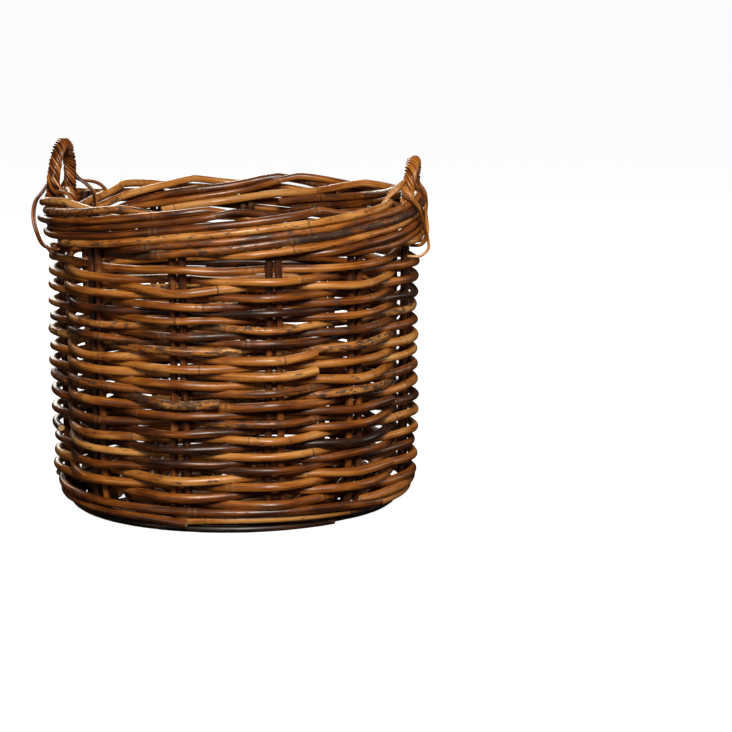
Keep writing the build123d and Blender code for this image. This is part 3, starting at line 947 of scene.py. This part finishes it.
def draw_handle(side, material, tone, rim_shape):
    """The core, the roped strands round it, and the strands that tie its feet to the rim."""
    dice = np.random.default_rng(1000 + HANDLES[side])
    line = handle_line(side)
    facing = same_way((HANDLES[side], 0, 0), line)
    core = Bundle()
    # The core is drawn darker than the strands (tone + 0.4) as painted shade, so that it reads dark where
    # it shows between them.
    add_tube(core, tube_rows(line, CORE_RADIUS), facing, dice, tone + 0.4, 0.2, crook=0, nodes=False)
    core.make(f"handle_{side}_bow", material, "handle_cane", [f"handle_{side}_core"])

    fine, length = smooth_line(np.concatenate([line, facing], axis=1), 2.5 * MM)
    rim_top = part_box("rim_outer_5")[1].z
    above = fine[:, 2] > rim_top - ROPE_TAIL
    fine, length = fine[above], length[above]
    _, first, second = across_tube(fine[:, :3], length, fine[:, 3:6])
    rope = Bundle()
    reach = ROPE_RADIUS - STRAND_RADIUS
    for number in range(ROPE_STRANDS):
        turn = 2 * math.pi * (number / ROPE_STRANDS - length / ROPE_PITCH)
        turn = turn + wander(length, dice, 0.10, 0.15)
        out = (reach + wander(length, dice, 0.35 * MM, 0.08))[:, None]
        radial = first * np.cos(turn)[:, None] + second * np.sin(turn)[:, None]
        strand_radius = STRAND_RADIUS * (dice.uniform(0.9, 1.12) + wander(length, dice, 0.04, 0.1))
        add_strand(rope, fine[:, :3] + radial * out, strand_radius, radial, dice, tone)
    rope.make(f"handle_{side}_rope", material, "handle_cane", [f"handle_{side}_wrap"])
    draw_ties(side, material, tone, rim_shape, dice)


def rim_outline(rods):
    """How far the settled rim reaches in each column: inner and outer face, and its top."""
    inner = np.full(COLUMNS, 9.0)
    outer = np.zeros(COLUMNS)
    top = np.zeros(COLUMNS)
    for rod in rods:
        if rod.piece.startswith("rim"):
            column = rod.columns % COLUMNS
            np.minimum.at(inner, column, rod.out - rod.radius)
            np.maximum.at(outer, column, rod.out - rod.flare + rod.radius)
            np.maximum.at(top, column, rod.height + rod.radius)
    return inner, outer, top


# Ways that strands leave the foot of a handle, in millimetres.  Each part of a route has what its
# distances out are counted from.  Each point has how far it lies along the rim from the leg and away
# from the handle's middle, its distance out, and its height over the rim's top.
TIE_ROUTES = {
    "loop": {
        "leg": [(0, 5, 22), (1, 12, 11)],
        "out": [(2, 4, -3), (4, 8, -18), (8, 8, -35), (15, 4, -52), (28, 0, -64), (50, -5, -69),
                (74, -14, -68)],
    },
    "face": {
        "leg": [(0, 4, 24), (2, 11, 12)],
        "out": [(5, 3, 0), (9, 7, -16), (13, 7, -36), (18, 3, -57), (22, -6, -69), (24, -22, -71)],
    },
    "across": {
        "leg": [(7, -5, 22), (12, 3, 11), (10, 13, 3)],
        "out": [(4, 2, -8), (-9, 2, -23), (-25, 2, -42), (-37, 1, -59), (-42, -8, -70), (-44, -24, -72)],
    },
    "drooping": {
        "leg": [(7, -5, 20), (13, 4, 9), (10, 14, 1)],
        "out": [(3, 3, -11), (-12, 3, -27), (-28, 3, -45), (-39, 5, -62), (-42, 5, -76), (-38, -5, -86),
                (-32, -26, -87)],
    },
    "sweep": {
        "leg": [(3, 4, 34), (11, 0, 21), (24, -6, 13)],
        "top": [(39, -13, 5), (54, -19, 3), (66, -23, -4), (74, -25, -16)],
    },
    "inner": {
        "leg": [(1, -3, 32), (4, -12, 19), (10, -24, 8)],
        "in": [(15, -1, -5), (20, -1, -24), (24, 0, -46), (27, 5, -62)],
    },
}
# The strands of each foot: handle, front (-1) or back leg, route, and how many lie side by side.
TIES = [
    ("left", -1, "loop", 3), ("left", -1, "sweep", 4), ("left", -1, "inner", 2),
    ("left", 1, "face", 3), ("left", 1, "inner", 3), ("left", 1, "sweep", 2),
    ("right", -1, "across", 3), ("right", -1, "drooping", 1), ("right", -1, "inner", 3),
    ("right", 1, "face", 3), ("right", 1, "inner", 3), ("right", 1, "across", 2),
]


def tie_points(side, leg, route, shift, rim_shape):
    """Route of one strand, shifted from the middle of its ribbon once it is off the rope."""
    inner, outer, top = rim_shape
    foot = handle_line(side)[0]
    leg_angle = math.atan2(leg * abs(foot[1]), foot[0])
    leg_out = math.hypot(foot[0], foot[1])
    turning = leg * HANDLES[side]
    rim_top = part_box("rim_outer_5")[1].z
    places = [(base, *place) for base, part in TIE_ROUTES[route].items() for place in part]
    points = []
    for number, (base, along, off, height) in enumerate(places):
        spread = min(1, 0.3 + 0.35 * number)
        angle = leg_angle + (along * MM + shift * spread) * turning / leg_out
        column = int(round(angle / COLUMN_ANGLE))
        near = np.arange(column - 2, column + 3) % COLUMNS
        faces = {
            "leg": leg_out,
            "top": leg_out,
            "out": outer[near].max() + STRAND_RADIUS,
            "in": inner[near].min() - STRAND_RADIUS,
        }
        level = top[near].max() + STRAND_RADIUS if base == "top" else rim_top
        out = faces[base] + off * MM + TIE_FAN * max(0, shift) * spread
        points.append((math.cos(angle) * out, math.sin(angle) * out, level + height * MM))
    return np.array(points)


def draw_ties(side, material, tone, rim_shape, dice):
    """The strands that tie both feet of a handle round the rim."""
    bundle = Bundle()
    for handle, leg, route, strands in TIES:
        if handle != side:
            continue
        for strand in range(strands):
            shift = (strand - (strands - 1) / 2) * TIE_SPACING
            points = tie_points(side, leg, route, shift, rim_shape)
            radius = STRAND_RADIUS * dice.uniform(0.85, 1.08)
            add_strand(bundle, points, radius, same_way((0, 1, 0), points), dice, tone)
    bundle.make(f"handle_{side}_ties", material, "handle_cane", [f"handle_{side}_lashing"])


# ---- studio ----
CAMERA_DISTANCE = 3.65
CAMERA_HEIGHT = 0.84
CAMERA_SIDE = math.radians(8)  # from straight in front, towards the right handle
CAMERA_YAW = math.radians(3.18)  # the basket stands left of the middle of the view
CAMERA_PITCH = math.radians(9.9)
CAMERA_LENS = 116.8
SURROUND_LIGHT = 0.015
LIGHT_COLOUR = (1.0, 0.92, 0.82)
LIGHT_AIM = (0, 0, 0.25)
# Name, place, size and power of each light.
LIGHTS = [
    ("key", (0.8, -3.1, 2.3), 1.1, 185),
    ("fill", (-2.4, -2.6, 1.0), 1.2, 12),
    ("back", (-1.3, 3.2, 1.7), 1.8, 85),
    ("side", (3.3, 0.9, 1.3), 1.4, 20),
]
FLOOR_HALF = 60.0  # half the floor's side
FLOOR_GLOW = 0.96  # so that the floor is nearly as white as the surround


def place_camera():
    """A long lens, a little above the rim, looking slightly down."""
    data = bpy.data.cameras.new("camera")
    data.lens = CAMERA_LENS
    data.clip_end = 200
    camera = add_object("camera", data)
    across = CAMERA_DISTANCE * math.sin(CAMERA_SIDE)
    back = CAMERA_DISTANCE * math.cos(CAMERA_SIDE)
    camera.location = (across, -back, CAMERA_HEIGHT)
    camera.rotation_euler = (math.pi / 2 - CAMERA_PITCH, 0, CAMERA_SIDE - CAMERA_YAW)
    bpy.context.scene.camera = camera


def add_light(name, place, size, power):
    """A square soft light that points at the basket."""
    data = bpy.data.lights.new(name, "AREA")
    data.energy = power
    data.color = LIGHT_COLOUR
    data.size = size
    light = add_object(name, data)
    light.location = place
    light.rotation_euler = (Vector(LIGHT_AIM) - Vector(place)).to_track_quat("-Z", "Y").to_euler()


def build_studio():
    """A plain pale floor, a pale surround, soft lights in front and weak ones behind and beside."""
    bpy.context.scene.view_settings.view_transform = "Standard"
    make = Nodes("pale_floor")
    shader = make.add("ShaderNodeBsdfPrincipled", {
        "Base Color": (0.25, 0.25, 0.25, 1),
        "Roughness": 0.9,
        "Emission Color": (1, 1, 1, 1),
        "Emission Strength": FLOOR_GLOW,
    })
    mesh = bpy.data.meshes.new("floor")
    corners = [(-1, -1), (1, -1), (1, 1), (-1, 1)]
    mesh.from_pydata([(x * FLOOR_HALF, y * FLOOR_HALF, 0) for x, y in corners], [], [(0, 1, 2, 3)])
    mesh.materials.append(make.finish(shader))
    floor = add_object("floor", mesh)
    floor.visible_diffuse = False
    floor.visible_glossy = False
    add_surround()
    for facts in LIGHTS:
        add_light(*facts)


def add_surround():
    """A white surround that lights the basket far less than it looks."""
    world = bpy.data.worlds.new("surround")
    world.use_nodes = True
    tree = world.node_tree
    background = tree.nodes["Background"]
    background.inputs["Color"].default_value = (1, 1, 1, 1)
    path = tree.nodes.new("ShaderNodeLightPath")
    strength = tree.nodes.new("ShaderNodeMapRange")
    strength.inputs["To Min"].default_value = SURROUND_LIGHT
    strength.inputs["To Max"].default_value = 1.0
    tree.links.new(path.outputs["Is Camera Ray"], strength.inputs["Value"])
    tree.links.new(strength.outputs[0], background.inputs["Strength"])
    bpy.context.scene.world = world


def build():
    """The whole basket."""
    materials = {
        "weaving_rods": rattan("rattan_rods", darker=0.03),
        # The stakes' material is darkened (darker=0.22) as painted shade: the stakes stand in the shade
        # behind the weave.
        "stakes": rattan("rattan_stakes_painted_shade", darker=0.22),
        "foot_rods": rattan("rattan_foot", darker=0.05, gloss=0.42, coat=0.1),
    }
    rods = lay_wall()
    draw_wall(rods, materials)
    draw_stakes(materials["stakes"])
    draw_sticks(materials["weaving_rods"])
    for facts in BASE_WEAVES:
        draw_base_weave(*facts, materials["weaving_rods"])
    rim_shape = rim_outline(rods)
    draw_handle("left", rattan("cane_left", darker=0.08), 0.52, rim_shape)
    draw_handle("right", rattan("cane_right"), 0.32, rim_shape)


build()
build_studio()
place_camera()
